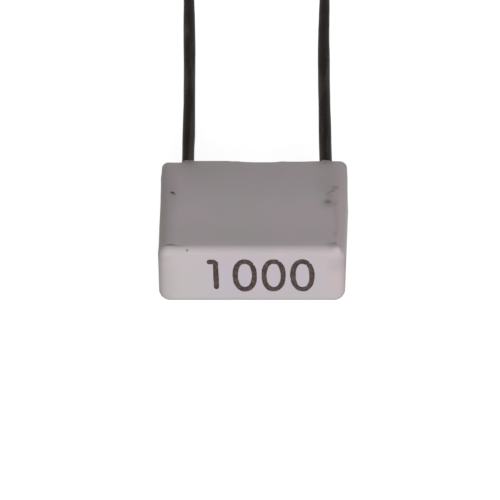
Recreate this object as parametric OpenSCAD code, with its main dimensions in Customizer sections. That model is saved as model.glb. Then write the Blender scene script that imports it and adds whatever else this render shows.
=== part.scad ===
// A small radial film capacitor with two wire leads, lying on one of its larger sides.
// Box axes: X runs from lead to lead, Y from the closed end to the open rim, Z through the thickness.

/* [Box] */
// Length of the box at its rim
box_l = 10; // [9.8:0.1:12]
// Depth of the box from its closed end to its rim
box_h = 8.5; // [8:0.1:10]
// Thickness of the box at its rim
box_t = 3.6; // [3.3:0.1:5]
// Thickness of the four side walls
wall = 0.5; // [0.4:0.05:0.55]
// Thickness of the closed end
end_wall = 0.6; // [0.4:0.05:0.7]
// Draft of every side wall, in degrees
draft = 0.75; // [0.25:0.25:1]
// Radius of the four long edges at the rim
edge_r = 0.4; // [0.35:0.05:0.5]
// Radius that the long edges grow to at the closed end
closed_edge_r = 0.6; // [0.5:0.05:0.8]
// Radius round the closed end
end_r = 0.45; // [0.15:0.05:0.5]

/* [Rim] */
// Radius on the outer edge of the rim
rim_r = 0.06; // [0.03:0.01:0.08]
// Chamfer on the inner edge of the rim
mouth_chamfer = 0.06; // [0.03:0.01:0.1]
// Length of the relief in the middle of each long wall
relief_l = 2.4; // [1:0.1:4]
// Depth of the relief
relief_depth = 0.1; // [0.05:0.01:0.2]
// Length of the slope at each end of the relief
relief_slope = 0.5; // [0.2:0.1:0.8]
// Length of rim that was moulded a little short, from the left-hand end
short_l = 1.4; // [0.6:0.1:2]
// How far it falls short
short_depth = 0.13; // [0.05:0.01:0.2]

/* [Resin] */
// Depth of the resin's level below the rim
resin_drop = 0.42; // [0.35:0.01:0.6]
// Height that the resin creeps up the walls
creep = 0.2; // [0.1:0.01:0.25]
// Height and width of the resin collar round each lead
collar = 0.3; // [0.15:0.05:0.4]

/* [Roll] */
// Width of the flattened roll, along the box's depth
roll_w = 6.1; // [5:0.1:6.2]
// Thickness of the flattened roll
roll_t = 1.7; // [1.2:0.1:1.8]
// Thickness of each sprayed end contact
contact_t = 0.3; // [0.2:0.05:0.5]
// Skew of the roll in its box, in degrees
roll_skew = 1.35; // [0:0.05:1.4]
// Shift of the roll towards the right-hand lead
roll_shift = 0.2; // [0:0.01:0.2]

/* [Leads] */
// Spacing of the leads where they leave the box
pitch = 7.5; // [7.3:0.1:7.5]
// Diameter of the tinned wire
lead_d = 0.64; // [0.5:0.02:0.66]
// Depth to which the wire is welded into its contact
weld_depth = 0.06; // [0.03:0.01:0.1]
// Length of lead from the rim to the slight outward crease that handling left
shank_l = 12.8; // [2:0.1:14]
// Angle of the crease, in degrees
crease_angle = 1.2; // [0.5:0.1:2]
// Length of lead beyond the crease
tip_l = 9.2; // [2:0.1:14]

/* [Hidden] */

left = -1;
right = 1;
rim_y = box_h / 2;
closed_y = -box_h / 2;
floor_y = closed_y + end_wall;

// Radii of the cavity's long edges and of its floor
cavity_edge_r = 0.22;
cavity_floor_r = 0.14;
// Gap that keeps the creeping resin's lip from thinning to nothing
lip = 0.03;
// Radii of the dish in the resin's face, round its floor and along its edges
dish_r = cavity_edge_r;
dish_edge_r = cavity_edge_r + lip;
// How far a cutting shape runs past what it cuts
over = 0.2;

resin_y = rim_y - resin_drop;
roll_y = floor_y + 0.4 + roll_w / 2;
// The wire's flat foot, a little below the middle of the roll
foot_y = -1.4;
crease_y = rim_y + shank_l;
// Radius of the crease, at the middle of the wire
crease_r = 1;
contact_face = pitch / 2 - lead_d / 2 + weld_depth;
roll_l = 2 * (contact_face - contact_t);
// The metal spray stops short of the roll's outer turns
spray_margin = 0.1;
// Flattened core that the film was wound on
core_w = 3.4;
core_gap = 0.08;

case_colour = [0.79, 0.765, 0.775];
resin_colour = [0.7, 0.68, 0.66];
film_colour = [0.83, 0.8, 0.72];
spray_colour = [0.66, 0.66, 0.65];
wire_colour = [0.2, 0.18, 0.17];

// Half size of a drafted block at depth y, from its half size at the rim
function half_at(half, y) = half - (rim_y - y) * tan(draft);

// Half thickness of the box level with its middle, which is where the origin lies
origin_drop = half_at(box_t / 2, 0);

// Lays the box on its lower larger side, which the draft tilts against the middle plane
module laid_down() {
    rotate([draft, 0, 0])
        translate([0, 0, origin_drop])
            children();
}

// The roll and its leads share axes that sit slightly askew in the box
module roll_axes() {
    translate([roll_shift, 0, 0])
        rotate([0, 0, roll_skew])
            children();
}

// Disc with a rounded rim, which shapes one corner of a block: the block's edge radius in plan, the
// fillet's radius in section
module corner_disc(outer_r, fillet_r) {
    rotate([90, 0, 0])
        rotate_extrude()
            intersection() {
                translate([outer_r - fillet_r, 0])
                    circle(r = fillet_r, $fn = $fn / 2);
                translate([0, -fillet_r])
                    square([outer_r, 2 * fillet_r]);
            }
}

// Block with drafted sides between two ends, its edges and both ends rounded. Each end is its depth, the
// radius round it and the radius of the long edges there; half_l and half_t are half sizes at the rim.
module drafted_block(half_l, half_t, low_end, high_end) {
    low = [low_end[0] + low_end[1], low_end[1], low_end[2]];
    high = [high_end[0] - high_end[1], high_end[1], high_end[2]];
    hull()
        for (end = [low, high], x = [left, right], z = [-1, 1])
            translate([
                x * (half_at(half_l, end[0]) - end[2]),
                end[0],
                z * (half_at(half_t, end[0]) - end[2])
            ])
                corner_disc(end[2], end[1]);
}

module cavity() {
    drafted_block(box_l / 2 - wall, box_t / 2 - wall, [floor_y, cavity_floor_r, cavity_edge_r],
        [rim_y + over, cavity_floor_r, cavity_edge_r], $fn = 32);
}

// Flared cut that chamfers the inner edge of the rim
module mouth() {
    hull()
        for (step = [[-mouth_chamfer, 0], [over, mouth_chamfer + over]], x = [left, right], z = [-1, 1])
            translate([
                x * (box_l / 2 - wall + step[1] - cavity_edge_r),
                rim_y + step[0],
                z * (box_t / 2 - wall + step[1] - cavity_edge_r)
            ])
                rotate([90, 0, 0])
                    cylinder(r = cavity_edge_r, h = 0.001, $fn = 32);
}

// Cut that lowers the rim by depth between x0 and x1, with a slope at each end
module rim_dip(x0, x1, depth) {
    flare = relief_slope * (1 + over / depth);
    translate([0, 0, -box_t])
        linear_extrude(2 * box_t)
            polygon([
                [x0, rim_y - depth],
                [x1, rim_y - depth],
                [x1 + flare, rim_y + over],
                [x0 - flare, rim_y + over]
            ]);
}

// Shallow dip across both long walls, which lets the board be washed under the box, and the short corner
module rim_relief() {
    rim_dip(-relief_l / 2, relief_l / 2, relief_depth);
    rim_dip(-box_l, -box_l / 2 + short_l, short_depth);
}

// Flattened roll section, swept along X and centred on the roll
module flat_roll(length, width, thickness) {
    translate([-length / 2, roll_y, 0])
        rotate([90, 0, 90])
            linear_extrude(length) {
                square([width - thickness, thickness], center = true);
                for (end = [left, right])
                    translate([end * (width - thickness) / 2, 0])
                        circle(d = thickness, $fn = 64);
            }
}

module contact_block(side) {
    translate([side * (contact_face - contact_t / 2), 0, 0])
        flat_roll(contact_t, roll_w - 2 * spray_margin, roll_t - 2 * spray_margin);
}

// Straight stretch of a lead, from its welded foot to its crease
module lead_shank(side) {
    translate([side * pitch / 2, foot_y, 0])
        rotate([-90, 0, 0])
            cylinder(d = lead_d, h = crease_y - foot_y, $fn = 48);
}

// Concave cone of resin that has crept up a lead
module resin_collar(side) {
    translate([side * pitch / 2, resin_y - over, 0])
        rotate([-90, 0, 0])
            rotate_extrude($fn = 64)
                difference() {
                    square([lead_d / 2 + collar, collar + over]);
                    translate([lead_d / 2 + collar, collar + over])
                        circle(r = collar - lip, $fn = 64);
                }
}

module case() {
    color(case_colour)
        laid_down()
            difference() {
                drafted_block(box_l / 2, box_t / 2, [closed_y, end_r, closed_edge_r],
                    [rim_y, rim_r, edge_r], $fn = 64);
                cavity();
                mouth();
                rim_relief();
            }
}

// Resin fills the cavity round the roll, dished between the walls and the leads
module potting_resin() {
    color(resin_colour)
        laid_down()
            difference() {
                union() {
                    difference() {
                        cavity();
                        translate([-box_l, resin_y + creep, -box_t])
                            cube([2 * box_l, box_h, 2 * box_t]);
                        drafted_block(box_l / 2 - wall - lip, box_t / 2 - wall - lip,
                            [resin_y, dish_r, dish_edge_r], [rim_y + over, dish_r, dish_edge_r], $fn = 32);
                    }
                    roll_axes()
                        for (side = [left, right])
                            resin_collar(side);
                }
                roll_axes() {
                    flat_roll(roll_l, roll_w, roll_t);
                    for (side = [left, right]) {
                        contact_block(side);
                        lead_shank(side);
                    }
                }
            }
}

module film_winding() {
    color(film_colour)
        laid_down()
            roll_axes()
                difference() {
                    flat_roll(roll_l, roll_w, roll_t);
                    flat_roll(roll_l + 2 * over, core_w, core_gap);
                }
}

module end_contact(side) {
    color(spray_colour)
        laid_down()
            roll_axes()
                difference() {
                    contact_block(side);
                    lead_shank(side);
                }
}

// Crease that turns a lead slightly outward
module lead_crease(side) {
    translate([side * (pitch / 2 + crease_r), crease_y, 0])
        rotate_extrude(angle = crease_angle, start = side == left ? 0 : 180 - crease_angle, $fn = 360)
            translate([crease_r, 0])
                circle(d = lead_d, $fn = 48);
}

// Straight free end of a lead, sheared square
module lead_tip(side) {
    translate([side * (pitch / 2 + crease_r), crease_y, 0])
        rotate([0, 0, -side * crease_angle])
            translate([-side * crease_r, 0, 0])
                rotate([-90, 0, 0])
                    cylinder(d = lead_d, h = tip_l, $fn = 48);
}

// Each lead is one wire
module lead(side) {
    color(wire_colour)
        laid_down()
            roll_axes() {
                lead_shank(side);
                lead_crease(side);
                lead_tip(side);
            }
}

module end_contact_left() {
    end_contact(left);
}

module end_contact_right() {
    end_contact(right);
}

module lead_left() {
    lead(left);
}

module lead_right() {
    lead(right);
}

case();
potting_resin();
film_winding();
end_contact_left();
end_contact_right();
lead_left();
lead_right();
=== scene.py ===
import math
import bmesh
import bpy
from mathutils import Matrix, Vector


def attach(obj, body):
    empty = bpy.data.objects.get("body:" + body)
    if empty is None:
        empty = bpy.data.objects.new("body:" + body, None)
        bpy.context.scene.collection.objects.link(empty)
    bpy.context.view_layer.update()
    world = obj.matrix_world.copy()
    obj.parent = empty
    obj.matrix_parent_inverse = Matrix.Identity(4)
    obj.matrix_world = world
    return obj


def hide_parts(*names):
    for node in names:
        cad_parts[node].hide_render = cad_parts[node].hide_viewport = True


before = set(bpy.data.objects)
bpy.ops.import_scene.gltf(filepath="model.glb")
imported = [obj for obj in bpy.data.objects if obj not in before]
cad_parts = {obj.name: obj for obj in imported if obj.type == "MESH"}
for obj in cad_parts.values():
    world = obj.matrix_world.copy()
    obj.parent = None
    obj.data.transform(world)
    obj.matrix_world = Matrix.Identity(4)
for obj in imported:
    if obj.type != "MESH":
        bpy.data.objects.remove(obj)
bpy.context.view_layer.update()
mm = 0.001

# The box's own axes: X from lead to lead, Y towards the open rim, Z through the thickness, and the
# origin in the middle. It lies on a drafted side, so they lean a little against the ground.
boxAxes = {
    "lean": 0.75,    # degrees about X
    "middle": 1.7444,    # height of the origin, in mm
    "closedEnd": -4.25,
}
onGround = (
    Matrix.Rotation(math.radians(boxAxes["lean"]), 4, "X")
    @ Matrix.Translation((0, 0, boxAxes["middle"]))
)


def placed(x, y, z):
    # a point in the box's own axes, in mm, as a place in the frame, in metres
    return (onGround @ Vector((x, y, z))) * mm


# where the camera stands and how it sees
cameraPlace = {
    "turn": 1.876,    # degrees round the box
    "height": 32.97,    # degrees above the box's middle plane
    "roll": -1.043,
    "distance": 250,    # mm from the middle of the box
    "lens": 338.8,    # mm, as is the sensor's width
    "sensor": 36,
    "shift": (-0.0069, -0.0355),
    "nearest": 0.005,    # metres, as is the farthest
    "farthest": 20,
}


def degrees(angle, axis):
    # a turn about an axis through the origin
    return Matrix.Rotation(math.radians(angle), 4, axis)


def makeCamera():
    data = bpy.data.cameras.new("camera")
    data.sensor_width = cameraPlace["sensor"]
    data.lens = cameraPlace["lens"]
    data.shift_x, data.shift_y = cameraPlace["shift"]
    data.clip_start = cameraPlace["nearest"]
    data.clip_end = cameraPlace["farthest"]
    camera = bpy.data.objects.new("camera", data)
    bpy.context.collection.objects.link(camera)
    aim = (
        degrees(boxAxes["lean"], "X")
        @ degrees(cameraPlace["turn"], "Z")
        @ degrees(90 - cameraPlace["height"], "X")
        @ degrees(cameraPlace["roll"], "Z")
    )
    back = aim.to_3x3() @ Vector((0, 0, cameraPlace["distance"] * mm))
    camera.matrix_world = Matrix.Translation(placed(0, 0, 0) + back) @ aim
    bpy.context.scene.camera = camera


makeCamera()
print("camera placed")


class Signal:
    # one output socket; arithmetic on it adds Math nodes to its tree
    def __init__(self, bench, socket):
        self.bench = bench
        self.socket = socket

    def math(self, operation, *values):
        return self.bench.node("ShaderNodeMath", {"operation": operation}, values)

    def __add__(self, other):
        return self.math("ADD", self, other)

    def __radd__(self, other):
        return self.math("ADD", other, self)

    def __sub__(self, other):
        return self.math("SUBTRACT", self, other)

    def __rsub__(self, other):
        return self.math("SUBTRACT", other, self)

    def __mul__(self, other):
        return self.math("MULTIPLY", self, other)

    def __rmul__(self, other):
        return self.math("MULTIPLY", other, self)

    def __truediv__(self, other):
        return self.math("DIVIDE", self, other)

    def __rtruediv__(self, other):
        return self.math("DIVIDE", other, self)

    def __pow__(self, other):
        return self.math("POWER", self, other)

    def highest(self, other):
        return self.math("MAXIMUM", self, other)

    def lowest(self, other):
        return self.math("MINIMUM", self, other)


class Bench:
    # a node tree to build on
    def __init__(self, tree):
        self.tree = tree

    def node(self, kind, settings=None, values=(), output=0):
        made = self.tree.nodes.new(kind)
        for name, setting in (settings or {}).items():
            setattr(made, name, setting)
        pairs = values.items() if isinstance(values, dict) else enumerate(values)
        for name, value in pairs:
            if isinstance(value, Signal):
                self.tree.links.new(value.socket, made.inputs[name])
            else:
                made.inputs[name].default_value = value
        return Signal(self, made.outputs[output] if made.outputs else None)


class Finish(Bench):
    # a material's tree, with the pattern nodes that every finish here uses; its lengths are in mm
    def __init__(self, name):
        self.material = bpy.data.materials.new(name)
        self.material.use_nodes = True
        self.material.node_tree.nodes.clear()
        super().__init__(self.material.node_tree)

    def place(self):
        whole = self.node("ShaderNodeTexCoord", output=3)
        return self.node("ShaderNodeMapping", values={"Vector": whole, "Scale": (1 / mm, 1 / mm, 1 / mm)})

    def stretched(self, place, size, turn=(0, 0, 0), centre=(0, 0, 0)):
        # place measured from centre, in units of size along the turned axes
        return self.node(
            "ShaderNodeMapping",
            {"vector_type": "TEXTURE"},
            {"Vector": place, "Location": centre, "Rotation": turn, "Scale": size},
        )

    def noise(self, place, size, detail=2.0, roughness=0.5, seed=0.0, output=0):
        return self.node(
            "ShaderNodeTexNoise",
            {"noise_dimensions": "4D"},
            {"Vector": place, "W": seed, "Scale": 1 / size, "Detail": detail, "Roughness": roughness},
            output,
        )

    def ramp(self, value, low, high, lowTo=0.0, highTo=1.0):
        # smooth step from lowTo to highTo as value goes from low to high
        return self.node(
            "ShaderNodeMapRange",
            {"interpolation_type": "SMOOTHSTEP"},
            {"Value": value, "From Min": low, "From Max": high, "To Min": lowTo, "To Max": highTo},
        )

    def mix(self, factor, low, high):
        return self.node("ShaderNodeMix", {"data_type": "RGBA"}, {0: factor, 6: low, 7: high}, 2)

    def jittered(self, place, size, amount, seed):
        # place pushed about by a noise, so that an edge drawn on it is uneven
        push = self.noise(place, size, 2.0, seed=seed, output=1)
        centred = self.node("ShaderNodeVectorMath", {"operation": "SUBTRACT"}, (push, (0.5, 0.5, 0.5)))
        scaled = self.node("ShaderNodeVectorMath", {"operation": "SCALE"}, {0: centred, "Scale": amount})
        return self.node("ShaderNodeVectorMath", {"operation": "ADD"}, (place, scaled))

    def blot(self, place, centre, size, turn=0.0, soft=0.5):
        # 1 inside an ellipsoid and 0 outside, with a soft edge
        near = self.stretched(place, size, (0, 0, math.radians(turn)), centre)
        far = self.node("ShaderNodeVectorMath", {"operation": "LENGTH"}, (near,), 1)
        return self.ramp(far, 1 - soft, 1 + soft, 1.0, 0.0)

    def bump(self, height, depth):
        # depth in mm for a height of 1
        return self.node("ShaderNodeBump", values={"Height": height, "Distance": depth * mm})

    def surface(self, values):
        # the finished material
        shader = self.node("ShaderNodeBsdfPrincipled", values=values)
        self.node("ShaderNodeOutputMaterial", values=(shader,))
        return self.material


def srgb(red, green, blue):
    # a colour as seen on a screen, from 0 to 255, in the linear form that sockets take
    parts = [part / 255 for part in (red, green, blue)]
    linear = [part / 12.92 if part <= 0.04045 else ((part + 0.055) / 1.055) ** 2.4 for part in parts]
    return (*linear, 1)


floorLook = {
    "size": 4.0,    # metres
    "colour": srgb(232, 232, 232),
    "glow": 0.75,    # shown to the camera on top of the light that falls on it
    "gap": 0.01,    # mm below the object, so that the two don't share a plane
}


def seenDirectly(bench):
    # 1 for rays that show the background: from the camera, off a gloss or through glass
    cameraRay, glossyRay, transmissionRay = 0, 3, 6
    rays = [
        bench.node("ShaderNodeLightPath", output=index)
        for index in (cameraRay, glossyRay, transmissionRay)
    ]
    return rays[0].highest(rays[1]).highest(rays[2])


def makeFloor():
    mesh = bpy.data.meshes.new("floor")
    reach = floorLook["size"] / 2
    height = -floorLook["gap"] * mm
    corners = [(-reach, -reach), (reach, -reach), (reach, reach), (-reach, reach)]
    mesh.from_pydata([(x, y, height) for x, y in corners], [], [(0, 1, 2, 3)])
    floor = bpy.data.objects.new("floor", mesh)
    bpy.context.collection.objects.link(floor)
    finish = Finish("paleFloor")
    lit = finish.node("ShaderNodeBsdfDiffuse", values={"Color": floorLook["colour"]})
    glow = finish.node("ShaderNodeEmission", values={"Strength": seenDirectly(finish) * floorLook["glow"]})
    both = finish.node("ShaderNodeAddShader", values=(lit, glow))
    finish.node("ShaderNodeOutputMaterial", values=(both,))
    mesh.materials.append(finish.material)


# Each lamp: where it stands, in degrees round from the front towards the right and above the
# ground, how far off and how wide it is in mm, and the light that it gives a surface facing it
lamps = {
    "key": {"round": 9, "height": 10, "distance": 160, "width": 100, "light": 0.81},
    "fill": {"round": 180, "height": 8, "distance": 200, "width": 160, "light": 0.15},
}
skyLight = 0.3    # strength of the white sky as a light


def makeLamp(name, lamp):
    data = bpy.data.lights.new(name, "AREA")
    data.size = lamp["width"] * mm
    data.energy = lamp["light"] * (math.pi * lamp["distance"] * mm) ** 2
    light = bpy.data.objects.new(name, data)
    bpy.context.collection.objects.link(light)
    aim = degrees(lamp["round"], "Z") @ degrees(90 - lamp["height"], "X")
    back = aim.to_3x3() @ Vector((0, 0, lamp["distance"] * mm))
    light.matrix_world = Matrix.Translation(placed(0, 0, 0) + back) @ aim


def makeSky():
    world = bpy.data.worlds.new("sky")
    world.use_nodes = True
    world.node_tree.nodes.clear()
    bpy.context.scene.world = world
    bench = Bench(world.node_tree)
    backdrop = bench.node("ShaderNodeBackground", values={"Color": (1, 1, 1, 1), "Strength": 1})
    light = bench.node("ShaderNodeBackground", values={"Color": (1, 1, 1, 1), "Strength": skyLight})
    both = bench.node("ShaderNodeMixShader", values=(seenDirectly(bench), light, backdrop))
    bench.node("ShaderNodeOutputWorld", values=(both,))


makeFloor()
for lampName, lampSizes in lamps.items():
    makeLamp(lampName, lampSizes)
makeSky()
bpy.context.scene.view_settings.view_transform = "Standard"
print("floor and light made")


# how near to each other points count as one, in mm: in a mesh from the CAD, after a cut, and where the
# case bends
samePoint = {"loose": 0.0002, "cut": 0.0005, "bend": 0.001}


def addPiece(name, mesh, slot, *nodes):
    # a finished mesh as a piece of the object, in place of the CAD nodes named
    piece = bpy.data.objects.new(name, mesh)
    bpy.context.collection.objects.link(piece)
    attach(piece, "root")
    if nodes:
        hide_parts(*nodes)
    return piece


def joined(mesh, reach):
    # the mesh with points that lie within reach of each other, in mm, made one
    shape = bmesh.new()
    shape.from_mesh(mesh)
    bmesh.ops.remove_doubles(shape, verts=shape.verts, dist=reach * mm)
    shape.to_mesh(mesh)
    shape.free()
    return mesh


def mergedMesh(node):
    # copy of a CAD node's mesh with its loose triangles joined
    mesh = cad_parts[node].data.copy()
    mesh.materials.clear()
    return joined(mesh, samePoint["loose"])


def evaluated(mesh, arrange):
    # the mesh as plain geometry once arrange has put its modifiers on a passing object
    carrier = bpy.data.objects.new("carrier", mesh)
    bpy.context.collection.objects.link(carrier)
    arrange(carrier)
    graph = bpy.context.evaluated_depsgraph_get()
    result = bpy.data.meshes.new_from_object(carrier.evaluated_get(graph))
    bpy.data.objects.remove(carrier)
    return result


def lumpMesh(name, lumps):
    # small ellipsoids as one mesh; each is a centre and half sizes in the box's axes in mm, and a
    # turn about Z in degrees
    shape = bmesh.new()
    for centre, size, turn in lumps:
        place = Matrix.Scale(mm, 4) @ onGround @ Matrix.Translation(centre) @ degrees(turn, "Z")
        place = place @ Matrix.Diagonal((*size, 1))
        bmesh.ops.create_icosphere(shape, subdivisions=3, radius=1, matrix=place)
    mesh = bpy.data.meshes.new(name)
    shape.to_mesh(mesh)
    shape.free()
    return mesh


def between(profile, place):
    # value at a place on a profile of (place, value) pairs, level beyond its ends
    if place <= profile[0][0]:
        return profile[0][1]
    for (low, lowValue), (high, highValue) in zip(profile, profile[1:]):
        if place <= high:
            return lowValue + (highValue - lowValue) * (place - low) / (high - low)
    return profile[-1][1]


def eased(value):
    # smooth step from 0 to 1
    held = max(0.0, min(1.0, value))
    return held * held * (3 - 2 * held)


def warped(mesh, cuts, moved):
    # the mesh cut across at each (axis, place), so that it can bend, and its points then put where
    # moved says, all in the box's own axes in mm
    inFrame = Matrix.Scale(mm, 4) @ onGround
    shape = bmesh.new()
    shape.from_mesh(mesh)
    shape.transform(inFrame.inverted())
    near = samePoint["bend"]
    for axis, place in cuts:
        normal = Vector([float(index == axis) for index in range(3)])
        whole = shape.verts[:] + shape.edges[:] + shape.faces[:]
        bmesh.ops.bisect_plane(shape, geom=whole, dist=near, plane_co=normal * place, plane_no=normal)
    bmesh.ops.remove_doubles(shape, verts=shape.verts, dist=near)
    bmesh.ops.triangulate(shape, faces=shape.faces[:])
    for vert in shape.verts:
        vert.co = moved(vert.co)
    shape.transform(inFrame)
    shape.to_mesh(mesh)
    shape.free()
    return mesh


def scooped(mesh, scoops):
    # the mesh with small ellipsoids cut out of it
    cutterPiece = bpy.data.objects.new("cutter", lumpMesh("cutter", scoops))
    bpy.context.collection.objects.link(cutterPiece)

    def arrange(carrier):
        cut = carrier.modifiers.new("cut", "BOOLEAN")
        cut.operation = "DIFFERENCE"
        cut.solver = "EXACT"
        cut.object = cutterPiece

    result = evaluated(mesh, arrange)
    bpy.data.objects.remove(cutterPiece)
    return joined(result, samePoint["cut"])


def smoothed(mesh, sharpest):
    # smooth shading, with every edge sharper than so many degrees kept crisp
    shape = bmesh.new()
    shape.from_mesh(mesh)
    for face in shape.faces:
        face.smooth = True
    for edge in shape.edges:
        edge.smooth = edge.calc_face_angle(0) < math.radians(sharpest)
    shape.to_mesh(mesh)
    shape.free()


def weightNormals(piece):
    # flat faces keep their own direction where a rounded edge meets them
    modifier = piece.modifiers.new("weigh", "WEIGHTED_NORMAL")
    modifier.keep_sharp = True
    modifier.weight = 100


# The moulded case. Sizes and places here and in the dictionaries that follow are in mm, and places are
# in the box's own axes.
caseLook = {
    "grey": srgb(195, 188, 189),
    "mauve": srgb(201, 188, 193),
    # the colour of dirt, and of the painted shade beside the leads' feet
    "grimeAndShade": srgb(50, 42, 39),
    # the grey of the painted shade
    "shadeGrey": srgb(150, 143, 142),
    "ochre": srgb(176, 170, 152),
    "roughness": 0.6,
    "roughnessSpread": 0.12,
    "dirtRoughness": 0.2,    # added where it is dirty
    "gloss": 0.2,
    "sharpest": 25,    # degrees; a sharper edge stays crisp
    "cloudSize": 2.8,    # patches of grey and mauve
    "speckleSize": 0.4,
    "grainSize": 0.06,    # the mould's fine texture
    "grainDepth": 0.0012,
    "markEdge": (0.12, 0.09),    # size and reach of the raggedness of a mark's edge
    "patchEdge": (1.2, 0.5),    # the same for a patch of painted shade
    "stainStrength": 0.8,
    # small dents: centre, half sizes, turn
    "nicks": [
        ((-4.31, 1.17, 1.77), (0.1, 0.05, 0.05), -25),
        ((3.95, 0.33, 1.765), (0.06, 0.05, 0.02), 20),
    ],
    # dirt, and painted shade on the rim beside each lead's foot in the last two: centre, half sizes, turn,
    # softness, strength
    "marks": [
        ((-4.32, 1.18, 1.76), (0.12, 0.08, 0.2), -25, 0.6, 0.85),
        ((-4.23, 1.02, 1.76), (0.14, 0.1, 0.2), -40, 0.7, 0.4),
        ((4.35, 1.64, 1.76), (0.17, 0.17, 0.2), 0, 0.8, 0.3),
        ((4.2, 1.31, 1.76), (0.14, 0.1, 0.2), 20, 0.8, 0.33),
        ((4.0, 1.1, 1.76), (0.14, 0.09, 0.2), 20, 0.8, 0.25),
        ((3.95, 0.32, 1.75), (0.14, 0.17, 0.2), 0, 0.9, 0.33),
        ((4.06, 0.82, 1.76), (0.22, 0.22, 0.2), 0, 0.8, 0.13),
        ((4.0, 1.5, 1.76), (0.25, 0.35, 0.2), 0, 0.8, 0.05),
        ((4.02, 0.14, 1.75), (0.33, 0.34, 0.2), 0, 0.9, 0.27),
        ((4.35, -2.73, 1.71), (0.13, 0.1, 0.2), 0, 0.8, 0.15),
        ((4.27, -3.8, 1.68), (0.28, 0.24, 0.25), 0, 0.8, 0.22),
        ((4.36, -3.69, 1.7), (0.13, 0.045, 0.2), -5, 0.8, 0.28),
        ((4.63, -3.78, 1.68), (0.07, 0.035, 0.2), -15, 0.8, 0.5),
        ((4.68, -3.96, 1.55), (0.16, 0.035, 0.3), -55, 0.8, 0.36),
        ((-4.28, -3.8, 1.66), (0.25, 0.065, 0.2), 0, 0.7, 0.52),
        ((-3.85, -3.88, 1.68), (0.32, 0.06, 0.2), 0, 0.8, 0.25),
        ((-3.35, -4.13, 1.56), (0.05, 0.05, 0.05), 0, 0.6, 0.75),
        # painted shade on the rim beside each lead's foot
        ((-3.55, 4.26, 1.75), (0.34, 0.3, 0.25), 0, 0.8, 0.3),
        ((3.8, 4.26, 1.75), (0.36, 0.3, 0.25), 0, 0.8, 0.3),
    ],
    # painted shade, as greyer patches along the edges, across the upper side and under each lead's foot, in
    # the same form
    "paintedShade": [
        ((-0.4, 3.4, 1.8), (5.0, 2.0, 0.5), 0, 0.8, 0.2),
        ((-4.85, -0.5, 1.6), (0.6, 4.4, 0.7), 0, 0.8, 0.48),
        ((-3.7, 2.4, 1.75), (1.3, 1.7, 0.4), 0, 0.8, 0.1),
        ((3.9, 2.0, 1.8), (0.6, 1.5, 0.5), 0, 0.8, 0.2),
        ((4.42, -1.6, 1.7), (0.13, 1.7, 0.3), 0, 0.8, 0.2),
        ((-4.75, -4.2, -0.3), (0.6, 0.4, 2.2), 0, 0.7, 0.22),
        ((0, -2.9, 1.75), (4.5, 0.9, 0.4), 0, 0.8, 0.08),
        # painted shade under each lead's foot
        ((-3.55, 4.0, 1.75), (0.5, 0.45, 0.3), 0, 0.8, 0.25),
        ((3.8, 4.0, 1.75), (0.5, 0.45, 0.3), 0, 0.8, 0.25),
    ],
    # faint tints, and in the last three painted shade and light on the closed end's right end and upper
    # corners: the same with a colour at the end
    "tintsAndPaintedLight": [
        ((-1.3, -4.2, -0.3), (2.8, 0.3, 1.3), 0, 0.8, 0.6, srgb(195, 189, 202)),
        ((2.6, -4.2, -0.3), (1.3, 0.3, 1.3), 0, 0.8, 0.5, srgb(194, 189, 201)),
        ((4.5, -4.2, -0.2), (0.5, 0.3, 1.2), 0, 0.8, 0.4, srgb(203, 186, 184)),
        ((4.5, 0.2, 1.75), (0.32, 4.2, 0.4), 0, 0.8, 0.7, srgb(204, 184, 187)),
        ((-3.0, 3.6, 1.75), (2.0, 0.6, 0.4), 0, 0.8, 0.5, srgb(186, 180, 176)),
        ((-3.6, -4.2, -0.3), (1.6, 0.3, 2.0), 0, 0.8, 0.6, srgb(200, 194, 192)),
        ((0.8, -4.2, -1.5), (3.6, 0.3, 0.4), 0, 0.8, 0.5, srgb(193, 191, 188)),
        # painted shade at the right end of the closed end
        ((4.5, -4.2, 0.72), (0.42, 0.3, 0.42), 0, 0.8, 0.55, srgb(180, 174, 176)),
        # painted light on the closed end's upper left corner
        ((-4.57, -4.08, 1.48), (0.3, 0.32, 0.26), 0, 0.8, 0.55, srgb(235, 230, 229)),
        # painted highlight on the closed end's upper right corner
        ((4.55, -4.05, 1.6), (0.26, 0.3, 0.15), 0, 0.8, 0.36, srgb(233, 227, 229)),
    ],
    # yellowed patches, in the same form
    "stains": [
        ((-4.8, -2.4, 1.55), (0.25, 1.9, 0.5), 0, 0.6, 0.4),
        ((-4.28, 0.5, 1.75), (0.32, 0.28, 0.2), 0, 0.8, 0.3),
    ],
}


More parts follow.
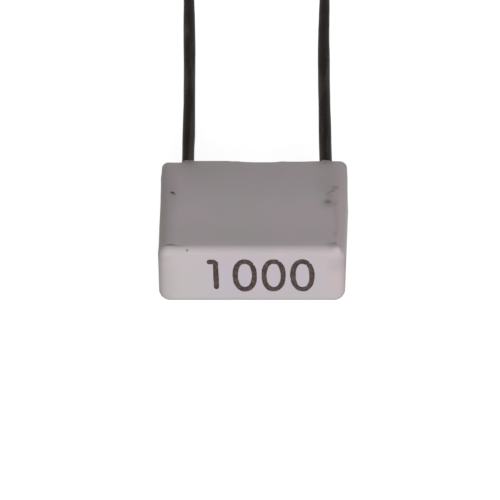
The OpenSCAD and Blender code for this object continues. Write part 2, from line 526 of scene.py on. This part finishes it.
# How the case is out of true: the rise of the upper wall's rim along X, and the shift towards +X of the
# left wall along Y and of the right wall's rim along Z
caseWarp = {
    "rimRise": [
        (-4.7, 0), (-4.3, -0.017), (-3.9, -0.015), (-3.6, 0.02), (-3.2, 0.061), (-2.2, 0.06), (-1.5, 0.065),
        (-1.1, 0.081), (-0.9, 0.074), (-0.6, 0.02), (-0.3, -0.004), (0, -0.021), (0.8, -0.021), (1.0, -0.014),
        (1.2, 0.012), (1.45, 0.014), (1.7, -0.01), (1.9, -0.02), (2.6, -0.019), (2.9, 0.004), (3.2, 0.019),
        (3.6, 0.024), (4.3, 0.024), (4.7, 0.014), (4.95, 0),
    ],
    "leftShift": [
        (-3.7, 0), (-3.3, 0.009), (-2.8, 0.015), (-2.3, 0.012), (-1.4, 0.004), (-0.9, 0.007), (-0.4, 0.009),
        (0.1, 0.01), (0.6, 0.01), (1.1, 0.006), (1.6, -0.003), (2.1, -0.004), (2.6, -0.01), (3.1, -0.028),
        (3.5, -0.008), (3.9, 0.003),
    ],
    "rightRim": [
        (-1.5, 0), (-1.2, -0.008), (-0.8, -0.013), (-0.4, -0.02), (0.1, -0.024), (0.5, -0.019), (0.8, -0.022),
        (1.05, -0.032), (1.35, -0.045), (1.7, -0.052),
    ],
    # where along the box's depth the rim's rise begins, and the length over which it grows
    "riseFrom": 3.7,
    "riseOver": 0.4,
    # where the right wall's shift is whole, and the length over which it fades towards the closed end
    "rightFrom": 4.1,
    "rightReach": 3,
    # how far from the middle a side wall's shift begins, and the width over which it grows
    "sideFrom": 3.9,
    "sideOver": 0.9,
}


def outOfTrue(point):
    # where a point of the case really is
    x, y, z = point
    rise = 0
    if z > 0:
        share = eased((y - caseWarp["riseFrom"]) / caseWarp["riseOver"])
        rise = between(caseWarp["rimRise"], x) * share
    shift = between(caseWarp["leftShift"], y)
    if x > 0:
        share = eased(1 + (y - caseWarp["rightFrom"]) / caseWarp["rightReach"])
        shift = between(caseWarp["rightRim"], z) * share
    sideways = eased((abs(x) - caseWarp["sideFrom"]) / caseWarp["sideOver"]) * shift
    return Vector((x + sideways, y + rise, z))


# cuts across the case at every place of its profiles, on axis 0 for X, 1 for Y and 2 for Z
warpCuts = [
    (axis, place)
    for axis, profile in enumerate(("rimRise", "leftShift", "rightRim"))
    for place, _ in caseWarp[profile]
]


def inBox(centre):
    # a centre in the box's axes as one on the ground, both in mm
    return tuple(onGround @ Vector(centre))


def blots(finish, place, marks):
    # all the marks as one mask
    total = 0.0
    for centre, size, turn, soft, strength in marks:
        total = finish.blot(place, inBox(centre), size, turn, soft) * strength + total
    return total.lowest(1.0)


def mouldedPlastic():
    finish = Finish("mouldedPlastic")
    place = finish.place()
    cloud = finish.ramp(finish.noise(place, caseLook["cloudSize"], 3, seed=1.7), 0.35, 0.65)
    speckle = finish.noise(place, caseLook["speckleSize"], 3, seed=4.1)
    grain = finish.noise(place, caseLook["grainSize"], 3, 0.6, seed=8.0)
    ragged = finish.jittered(place, *caseLook["markEdge"], seed=3.3)
    # dirt, and painted shade beside the leads' feet
    dirtAndShade = blots(finish, ragged, caseLook["marks"])
    stain = blots(finish, ragged, caseLook["stains"])
    # painted shade: greyer patches where the light falls less
    shadeGrey = blots(finish, finish.jittered(place, *caseLook["patchEdge"], seed=6.1), caseLook["paintedShade"])
    colour = finish.mix(cloud, caseLook["grey"], caseLook["mauve"])
    # faint tints, with painted light and shade at the closed end's corners
    for centre, size, turn, soft, strength, tint in caseLook["tintsAndPaintedLight"]:
        colour = finish.mix(finish.blot(place, inBox(centre), size, turn, soft) * strength, colour, tint)
    colour = finish.mix(shadeGrey, colour, caseLook["shadeGrey"])
    colour = finish.mix(stain * caseLook["stainStrength"], colour, caseLook["ochre"])
    colour = finish.mix(dirtAndShade, colour, caseLook["grimeAndShade"])
    rough = caseLook["roughness"] + (speckle - 0.5) * caseLook["roughnessSpread"]
    return finish.surface({
        "Base Color": colour,
        "Roughness": rough + dirtAndShade * caseLook["dirtRoughness"],
        "IOR": 1.46,
        "Specular IOR Level": caseLook["gloss"],
        "Normal": finish.bump(grain, caseLook["grainDepth"]),
    })


caseMesh = scooped(warped(mergedMesh("case"), warpCuts, outOfTrue), caseLook["nicks"])
smoothed(caseMesh, caseLook["sharpest"])
caseMesh.materials.clear()
caseMesh.materials.append(mouldedPlastic())
caseShell = addPiece("caseShell", caseMesh, "case", "case")
weightNormals(caseShell)
print("case made,", len(caseMesh.polygons), "faces")


# the potting resin in the open end
resinLook = {
    "pale": srgb(168, 161, 150),
    "deep": srgb(140, 132, 120),
    "roughness": 0.28,
    "roughnessSpread": 0.12,
    "sharpest": 32,
    "swirlSize": 1.4,
    "swirlEdge": (1.1, 0.5),    # size and reach of the swirl's folds
    "rippleSize": 0.9,
    "rippleDepth": 0.02,
    "poreSize": 0.09,
    "poreShare": 0.15,    # of the ripples' depth
    # burst bubbles in the resin's face, which lies at y = 3.83
    "bubbles": [
        ((-1.9, 3.84, 0.42), (0.13, 0.09, 0.12), 0),
        ((-0.45, 3.84, -0.55), (0.08, 0.06, 0.08), 0),
        ((0.9, 3.84, 0.2), (0.17, 0.11, 0.16), 0),
        ((1.25, 3.84, -0.12), (0.07, 0.05, 0.07), 0),
        ((2.35, 3.84, -0.6), (0.1, 0.07, 0.1), 0),
        ((-2.6, 3.84, -0.35), (0.06, 0.05, 0.06), 0),
    ],
}


def pottedResin():
    finish = Finish("pottedResin")
    place = finish.place()
    folded = finish.jittered(place, *resinLook["swirlEdge"], seed=6.0)
    swirl = finish.ramp(finish.noise(folded, resinLook["swirlSize"], 4, seed=2.2), 0.3, 0.7)
    ripple = finish.noise(place, resinLook["rippleSize"], 2, seed=5.5)
    pores = finish.ramp(finish.noise(place, resinLook["poreSize"], 2, seed=9.0), 0.28, 0.42)
    colour = finish.mix(swirl, finish.mix(pores, resinLook["deep"], resinLook["pale"]), resinLook["pale"])
    return finish.surface({
        "Base Color": colour,
        "Roughness": resinLook["roughness"] + swirl * resinLook["roughnessSpread"],
        "IOR": 1.5,
        "Normal": finish.bump(ripple + pores * resinLook["poreShare"], resinLook["rippleDepth"]),
    })


resinMesh = scooped(mergedMesh("potting_resin"), resinLook["bubbles"])
smoothed(resinMesh, resinLook["sharpest"])
resinMesh.materials.clear()
resinMesh.materials.append(pottedResin())
resinFill = addPiece("resinFill", resinMesh, "resin", "potting_resin")
weightNormals(resinFill)
print("resin made,", len(resinMesh.polygons), "faces")


# the resin smeared over the rim beside each lead
smearLook = {
    "thin": srgb(152, 143, 140),
    "thick": srgb(118, 108, 105),
    "roughness": 0.5,
    "roughnessSpread": 0.15,
    "gloss": 0.3,
    "sharpest": 60,
    "patchSize": 0.3,
    "grainSize": 0.12,
    "grainDepth": 0.01,
    # centre, half sizes, turn
    "lumps": [
        ((-3.54, 4.24, 1.66), (0.43, 0.22, 0.15), 0),
        ((-3.72, 4.2, 1.5), (0.34, 0.13, 0.2), 12),
        ((-3.36, 4.22, 1.44), (0.26, 0.09, 0.2), -15),
        ((3.8, 4.25, 1.66), (0.42, 0.2, 0.15), 0),
        ((3.66, 4.23, 1.48), (0.3, 0.12, 0.22), 8),
        ((3.98, 4.24, 1.54), (0.22, 0.09, 0.16), -10),
    ],
}


def smearedResin():
    finish = Finish("smearedResin")
    place = finish.place()
    patch = finish.ramp(finish.noise(place, smearLook["patchSize"], 3, seed=2.7), 0.35, 0.65)
    grain = finish.noise(place, smearLook["grainSize"], 2, seed=4.4)
    return finish.surface({
        "Base Color": finish.mix(patch, smearLook["thin"], smearLook["thick"]),
        "Roughness": smearLook["roughness"] + patch * smearLook["roughnessSpread"],
        "IOR": 1.5,
        "Specular IOR Level": smearLook["gloss"],
        "Normal": finish.bump(grain, smearLook["grainDepth"]),
    })


smearMesh = lumpMesh("rimSmears", smearLook["lumps"])
smoothed(smearMesh, smearLook["sharpest"])
smearMesh.materials.append(smearedResin())
addPiece("rimSmears", smearMesh, "resin")
print("smears made,", len(smearMesh.polygons), "faces")


def openGroup(name, inputs):
    # a Geometry Nodes tree with an input of each given name and kind
    tree = bpy.data.node_groups.new(name, "GeometryNodeTree")
    tree.is_modifier = True
    tree.interface.new_socket("Geometry", in_out="INPUT", socket_type="NodeSocketGeometry")
    for label, kind in inputs.items():
        tree.interface.new_socket(label, in_out="INPUT", socket_type="NodeSocket" + kind)
    tree.interface.new_socket("Geometry", in_out="OUTPUT", socket_type="NodeSocketGeometry")
    bench = Bench(tree)
    start = tree.nodes.new("NodeGroupInput")
    return bench, {socket.name: Signal(bench, socket) for socket in start.outputs if socket.name}


def closeGroup(bench, shape, material):
    # the end that every tree here has
    real = bench.node("GeometryNodeRealizeInstances", values={"Geometry": shape})
    coated = bench.node("GeometryNodeSetMaterial", values={"Geometry": real, "Material": material})
    bench.node("NodeGroupOutput", values=(coated,))
    return bench.tree


def grown(mesh, tree, values):
    # the mesh after the tree, as plain geometry
    def arrange(carrier):
        modifier = carrier.modifiers.new("grow", "NODES")
        modifier.node_group = tree
        for item in tree.interface.items_tree:
            if item.in_out == "INPUT" and item.name in values:
                modifier[item.identifier] = values[item.name]

    return evaluated(mesh, arrange)


def routeMesh(name, routes):
    # loose edges through each route's points
    mesh = bpy.data.meshes.new(name)
    points = [point for route in routes for point in route]
    edges = []
    first = 0
    for route in routes:
        edges += [(first + index, first + index + 1) for index in range(len(route) - 1)]
        first += len(route)
    mesh.from_pydata(points, edges, [])
    return mesh


# the wire leads
leadLook = {
    "spacing": 7.5,
    "skew": 1.35,    # degrees that the roll and its leads sit askew
    "shift": 0.2,
    "foot": -1.4,    # depth of the welded foot
    "crease": 17.05,    # depth where handling bent the lead outwards
    "turn": 1.2,
    "ease": 1.5,    # how gradually the crease turns
    "tip": 9.2,    # length beyond the crease
    "points": 80,    # steps along a wire's route
    "step": 0.12,    # from one ring of its mesh to the next
    "sides": 32,
    "waver": 0.02,
    "waverLength": 6,
    "unevenness": 0.04,    # of the radius, as a share
    "bareFrom": 0.74,    # share of the length at which the tin coat starts to thin
    "bareOver": 0.12,    # share of the length over which it does so
    # slight bends along each wire: distance along the box's depth and offset towards +X
    "bends": {
        "leadLeft": [
            (7.4, 0.001), (8.7, 0.001), (9.3, 0.01), (9.9, 0.014), (10.5, 0.016), (11.2, 0.012),
            (12.4, 0.006), (13.1, 0.007), (13.7, 0.003), (15, -0.005), (15.6, -0.006), (16.3, -0.005),
            (17, -0.001), (17.6, 0), (20.3, 0.003), (21.6, 0.008), (22.9, 0.014), (24.3, 0.018),
        ],
        "leadRight": [
            (5, 0), (7.4, -0.011), (8.7, -0.018), (9.9, -0.015), (11.2, -0.01), (12.4, -0.013),
            (13.1, -0.011), (13.7, -0.008), (14.4, -0.011), (15.6, -0.008), (16.6, -0.005), (18, -0.004),
            (18.9, -0.009), (19.6, -0.015), (20.9, -0.017), (21.6, -0.012), (22.9, -0.006), (24.3, 0),
        ],
    },
    # thickness of the tin coat in the same way, as a share of the wire's radius
    "coat": {
        "leadLeft": [
            (7.4, 0.986), (8.1, 0.982), (8.7, 0.997), (9.3, 1.029), (9.9, 1.046), (10.5, 1.029),
            (11.2, 1.013), (11.8, 0.996), (12.4, 0.991), (13.1, 0.973), (14.4, 0.975), (15.6, 0.964),
            (16.3, 0.973), (17, 0.985), (17.6, 0.992), (18.3, 1.005), (18.9, 1.022), (19.6, 1.031),
            (21.6, 1.034), (22.3, 1.026), (23, 1.009), (23.6, 0.979), (24.3, 0.955),
        ],
        "leadRight": [
            (7.4, 1.018), (8.7, 1.014), (9.9, 1.022), (10.5, 1.023), (11.2, 1.013), (11.8, 1.001),
            (12.4, 0.983), (13.1, 0.985), (13.7, 0.999), (14.4, 1.007), (15, 1.012), (15.6, 1.004),
            (16.3, 1.012), (17, 1.025), (17.6, 1.034), (18.3, 1.02), (18.9, 1.001), (19.6, 0.974),
            (20.3, 0.966), (20.9, 0.978), (21.6, 0.984), (22.3, 1), (23, 1.008), (23.6, 0.997),
            (24.3, 0.955),
        ],
    },
    "radius": 0.334,
    "sharpest": 50,
    "tarnish": srgb(9, 7, 6),
    "bare": srgb(66, 60, 55),
    "edge": (0.69, 0.67, 0.66, 1),    # share of each colour reflected where the wire is seen along
    "roughness": 0.42,
    "roughnessSpread": 0.3,
    "streak": (0.2, 3.5, 0.2),    # the marks of drawing, long along the wire
    "crustSize": 0.16,
    "wear": 0.58,
    "grainDepth": 0.02,
    # lighter strips along the wires' sides, painted highlights where their edges catch the light, and darker
    # ones for a strength below 0: centre, half sizes, turn, softness and strength
    "wearAndHighlights": [
        ((-3.36, 7.2, 0), (0.4, 4.3, 3), 1.35, 0.5, 0.45),
        ((-3.9, 9.5, 0), (0.22, 3.5, 3), 1.35, 0.6, -0.25),
        ((-4.25, 23, 0), (0.9, 1.8, 3), 1.35, 0.5, -0.4),
        ((-3.5, 15.2, 0), (0.3, 1.7, 3), 1.35, 0.5, 0.4),
        ((-4.28, 15, 0), (0.3, 1.8, 3), 1.35, 0.5, 0.35),
        ((4.1, 14.2, 0), (0.3, 4.2, 3), 1.35, 0.5, 0.45),
        ((4.26, 7.4, 0), (0.3, 2, 3), 1.35, 0.5, 0.5),
        ((3.32, 7.4, 0), (0.3, 2, 3), 1.35, 0.5, 0.3),
        ((3.2, 14.4, 0), (0.3, 1.8, 3), 1.35, 0.5, 0.35),
    ],
}


# each lead: the CAD node that it stands for, its side, the seed of its waver, and how far its coat thins
leads = {
    "leadLeft": {"node": "lead_left", "side": -1, "seed": 2.0, "thinning": 0.03},
    "leadRight": {"node": "lead_right", "side": 1, "seed": 5.0, "thinning": 0.09},
}


def leadRoute(leadName, side):
    # points along the middle of one wire, in metres, and the thickness of its coat at each
    askew = Matrix.Translation((leadLook["shift"], 0, 0)) @ degrees(leadLook["skew"], "Z")
    ease = leadLook["ease"]
    slope = math.tan(math.radians(leadLook["turn"]))
    end = leadLook["crease"] + leadLook["tip"] * math.cos(math.atan(slope))
    points = []
    coat = []
    for step in range(leadLook["points"] + 1):
        y = leadLook["foot"] + (end - leadLook["foot"]) * step / leadLook["points"]
        outward = slope * ease * math.log1p(math.exp((y - leadLook["crease"]) / ease))
        x = side * (leadLook["spacing"] / 2 + outward) + between(leadLook["bends"][leadName], y)
        points.append(placed(*(askew @ Vector((x, y, 0)))))
        coat.append(between(leadLook["coat"][leadName], y))
    return points, coat


def leadTree():
    bench, given = openGroup("drawnWire", {
        "Radius": "Float",
        "Step": "Float",
        "Sides": "Int",
        "Waver": "Float",
        "Waver Length": "Float",
        "Unevenness": "Float",
        "Thinning": "Float",
        "Bare From": "Float",
        "Bare Over": "Float",
        "Seed": "Float",
        "Material": "Material",
    })
    path = bench.node("GeometryNodeMeshToCurve", values={"Mesh": given["Geometry"]})
    path = bench.node(
        "GeometryNodeResampleCurve", {"mode": "LENGTH"}, {"Curve": path, "Length": given["Step"]}
    )
    along = bench.node("GeometryNodeSplineParameter", output=0)    # 0 at the foot and 1 at the tip
    place = bench.node("GeometryNodeInputPosition")
    wander = bench.node(
        "ShaderNodeTexNoise",
        {"noise_dimensions": "4D"},
        {"Vector": place, "W": given["Seed"], "Scale": 1 / given["Waver Length"], "Detail": 1.0},
        1,
    )
    # from -1 to 1 to each side and up and down, and nothing along the wire
    sideways = bench.node(
        "ShaderNodeVectorMath", {"operation": "MULTIPLY_ADD"}, (wander, (2, 0, 2), (-1, 0, -1))
    )
    held = (along * (1 - along) * 4).lowest(1.0)    # both ends stay in their places
    offset = bench.node(
        "ShaderNodeVectorMath", {"operation": "SCALE"}, {0: sideways, "Scale": held * given["Waver"]}
    )
    path = bench.node("GeometryNodeSetPosition", values={"Geometry": path, "Offset": offset})
    swell = bench.node(
        "ShaderNodeTexNoise",
        {"noise_dimensions": "4D"},
        {"Vector": place, "W": given["Seed"] + 7, "Scale": 1 / given["Waver Length"], "Detail": 3.0},
    )
    bare = ((along - given["Bare From"]) / given["Bare Over"]).highest(0.0).lowest(1.0)
    coat = bench.node("GeometryNodeInputNamedAttribute", {"data_type": "FLOAT"}, {"Name": "coat"})
    size = coat + (swell - 0.5) * 2 * given["Unevenness"]
    size = size - given["Thinning"] * bare * bare    # the tin coat thins out towards the tip
    ring = bench.node(
        "GeometryNodeCurvePrimitiveCircle", values={"Resolution": given["Sides"], "Radius": given["Radius"]}
    )
    wire = bench.node(
        "GeometryNodeCurveToMesh",
        values={"Curve": path, "Profile Curve": ring, "Scale": size, "Fill Caps": True},
    )
    return closeGroup(bench, wire, given["Material"])


def tarnishedWire():
    finish = Finish("tarnishedWire")
    place = finish.place()
    drawn = finish.noise(finish.stretched(place, leadLook["streak"]), 1, 2, seed=3.0)
    crust = finish.noise(place, leadLook["crustSize"], 4, 0.65, seed=5.0)
    wear = finish.ramp(drawn * 0.75 + crust * 0.25, 0.5, 0.72) * leadLook["wear"]
    # the wear, with painted highlights along the wires' sides
    wearAndHighlights = wear + blots(finish, place, leadLook["wearAndHighlights"])
    return finish.surface({
        "Base Color": finish.mix(wearAndHighlights, leadLook["tarnish"], leadLook["bare"]),
        "Metallic": 1.0,
        "Specular Tint": leadLook["edge"],
        "Roughness": leadLook["roughness"] + (crust - 0.5) * leadLook["roughnessSpread"],
        "Normal": finish.bump(drawn * 0.5 + crust * 0.5, leadLook["grainDepth"]),
    })


wireTree = leadTree()
wireMaterial = tarnishedWire()
for leadName, lead in leads.items():
    route, coat = leadRoute(leadName, lead["side"])
    routeShape = routeMesh(leadName, [route])
    routeShape.attributes.new("coat", "FLOAT", "POINT").data.foreach_set("value", coat)
    wireMesh = grown(routeShape, wireTree, {
        "Radius": leadLook["radius"] * mm,
        "Step": leadLook["step"] * mm,
        "Sides": leadLook["sides"],
        "Waver": leadLook["waver"] * mm,
        "Waver Length": leadLook["waverLength"] * mm,
        "Unevenness": leadLook["unevenness"],
        "Thinning": lead["thinning"],
        "Bare From": leadLook["bareFrom"],
        "Bare Over": leadLook["bareOver"],
        "Seed": lead["seed"],
        "Material": wireMaterial,
    })
    smoothed(wireMesh, leadLook["sharpest"])
    addPiece(leadName, wireMesh, "wire", lead["node"])
    print(leadName, "made,", len(wireMesh.polygons), "faces")


# the plain number on the closed end
numberLook = {
    "height": 1.73,    # of a digit, between the middles of its strokes
    "baseline": -0.8,    # above the middle of the closed end
    "oneStem": -1.86,    # where the 1 stands
    # the flag of the 1, from its stem's place and from a digit's top, and how far its foot leans
    "oneFlag": [(-0.48, -0.04), (-0.12, -0.01), (-0.02, -0.12)],
    "oneLean": 0.01,
    "zeros": [(-0.355, 0.4, 40), (1.155, -0.6, 62), (2.665, 0.5, 50)],    # middle, lean and start angle
    "zeroWidth": 1.0,
    "zeroPoints": 48,
    "zeroPower": 0.9,    # below 1 a zero is squarer than an ellipse
    "zeroTurn": 366,    # degrees drawn, so that its end overlaps its start
    "stroke": 0.139,    # half width of a stroke
    "step": 0.03,
    "sides": 16,
    "raggedness": 0.25,
    "flatness": 0.09,
    "seed": 3.0,
    "sharpest": 60,
    "ink": srgb(48, 35, 33),
    "faded": srgb(96, 78, 73),
    "roughness": 0.62,
    "roughnessSpread": 0.15,
    "patchSize": 0.14,
}


def squarer(value):
    # a sine or cosine, changed so that it draws a squarer loop
    return math.copysign(abs(value) ** numberLook["zeroPower"], value)


def digitRoutes():
    # strokes of the number, flat on the face: X to the right and Y up
    low = numberLook["baseline"]
    high = low + numberLook["height"]
    stem = numberLook["oneStem"]
    flag = [(stem + x, high + y) for x, y in numberLook["oneFlag"]]
    routes = [flag + [(stem + numberLook["oneLean"], low)]]
    points = numberLook["zeroPoints"]
    for middle, lean, start in numberLook["zeros"]:
        turn = degrees(lean, "Z")
        loop = []
        for step in range(points + 1):
            angle = math.radians(start + numberLook["zeroTurn"] * step / points)
            x = squarer(math.cos(angle)) * numberLook["zeroWidth"] / 2
            y = squarer(math.sin(angle)) * numberLook["height"] / 2
            moved = turn @ Vector((x, y, 0))
            loop.append((middle + moved.x, (low + high) / 2 + moved.y))
        routes.append(loop)
    return [[Vector((x, y, 0)) * mm for x, y in route] for route in routes]


def strokeTree():
    bench, given = openGroup("penStroke", {
        "Half Width": "Float",
        "Flatness": "Float",
        "Step": "Float",
        "Sides": "Int",
        "Raggedness": "Float",
        "Seed": "Float",
        "Material": "Material",
    })
    path = bench.node("GeometryNodeMeshToCurve", values={"Mesh": given["Geometry"]})
    path = bench.node(
        "GeometryNodeResampleCurve", {"mode": "LENGTH"}, {"Curve": path, "Length": given["Step"]}
    )
    place = bench.node("GeometryNodeInputPosition")
    # the ink spreads unevenly, in blobs about as wide as the stroke
    blob = bench.node(
        "ShaderNodeTexNoise",
        {"noise_dimensions": "4D"},
        {"Vector": place, "W": given["Seed"], "Scale": 0.45 / given["Half Width"], "Detail": 2.0},
    )
    length = bench.node("GeometryNodeSplineLength", output=0)
    along = bench.node("GeometryNodeSplineParameter", output=1)
    toEnd = (along.lowest(length - along) / given["Half Width"]).lowest(1.0)
    rounded = (1.02 - (1 - toEnd) ** 2) ** 0.5    # half a circle at both ends, never quite a point
    size = rounded * (1 + (blob - 0.5) * 2 * given["Raggedness"])
    ring = bench.node(
        "GeometryNodeCurvePrimitiveCircle",
        values={"Resolution": given["Sides"], "Radius": given["Half Width"]},
    )
    stroke = bench.node(
        "GeometryNodeCurveToMesh",
        values={"Curve": path, "Profile Curve": ring, "Scale": size, "Fill Caps": True},
    )
    squash = bench.node("ShaderNodeCombineXYZ", values=(1.0, 1.0, given["Flatness"]))
    flat = bench.node("ShaderNodeVectorMath", {"operation": "MULTIPLY"}, (place, squash))
    stroke = bench.node("GeometryNodeSetPosition", values={"Geometry": stroke, "Position": flat})
    return closeGroup(bench, stroke, given["Material"])


def brownInk():
    finish = Finish("brownInk")
    place = finish.place()
    patchy = finish.ramp(finish.noise(place, numberLook["patchSize"], 3, seed=1.0), 0.35, 0.75)
    return finish.surface({
        "Base Color": finish.mix(patchy, numberLook["ink"], numberLook["faded"]),
        "Roughness": numberLook["roughness"] + patchy * numberLook["roughnessSpread"],
        "IOR": 1.4,
    })


numberMesh = grown(routeMesh("plainNumber", digitRoutes()), strokeTree(), {
    "Half Width": numberLook["stroke"] * mm,
    "Flatness": numberLook["flatness"],
    "Step": numberLook["step"] * mm,
    "Sides": numberLook["sides"],
    "Raggedness": numberLook["raggedness"],
    "Seed": numberLook["seed"],
    "Material": brownInk(),
})
# the flat strokes stand up against the closed end
endFace = Matrix.Translation(placed(0, boxAxes["closedEnd"], 0)) @ degrees(boxAxes["lean"] + 90, "X")
numberMesh.transform(endFace)
smoothed(numberMesh, numberLook["sharpest"])
addPiece("plainNumber", numberMesh, "case")
print("number made,", len(numberMesh.polygons), "faces")


# the roll and its sprayed ends, sealed in the resin
filmLook = {
    "pale": srgb(216, 208, 186),
    "dark": srgb(190, 182, 160),
    "turns": (3.0, 0.6, 0.02),    # size of the pattern of its turns along each axis
    "roughness": 0.3,
    "roughnessSpread": 0.1,
    "turnDepth": 0.01,
}
sprayLook = {
    "pale": srgb(168, 168, 164),
    "dark": srgb(120, 120, 117),
    "dropScale": 12.0,
    "roughness": 0.55,
    "roughnessSpread": 0.2,
    "dropDepth": 0.03,
}


def woundFilm():
    finish = Finish("woundFilm")
    turns = finish.noise(finish.stretched(finish.place(), filmLook["turns"]), 1, 2, seed=1.0)
    return finish.surface({
        "Base Color": finish.mix(finish.ramp(turns, 0.4, 0.6), filmLook["pale"], filmLook["dark"]),
        "Roughness": filmLook["roughness"] + turns * filmLook["roughnessSpread"],
        "Normal": finish.bump(turns, filmLook["turnDepth"]),
    })


def sprayedMetal():
    finish = Finish("sprayedMetal")
    drops = finish.node(
        "ShaderNodeTexVoronoi", values={"Vector": finish.place(), "Scale": sprayLook["dropScale"]}
    )
    return finish.surface({
        "Base Color": finish.mix(finish.ramp(drops, 0.1, 0.6), sprayLook["pale"], sprayLook["dark"]),
        "Metallic": 1.0,
        "Roughness": sprayLook["roughness"] + drops * sprayLook["roughnessSpread"],
        "Normal": finish.bump(1 - drops, sprayLook["dropDepth"]),
    })


filmMaterial = woundFilm()
sprayMaterial = sprayedMetal()
for node, material in (
    ("film_winding", filmMaterial),
    ("end_contact_left", sprayMaterial),
    ("end_contact_right", sprayMaterial),
):
    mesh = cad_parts[node].data
    mesh.materials.clear()
    mesh.materials.append(material)
print("roll and sprayed ends coloured")
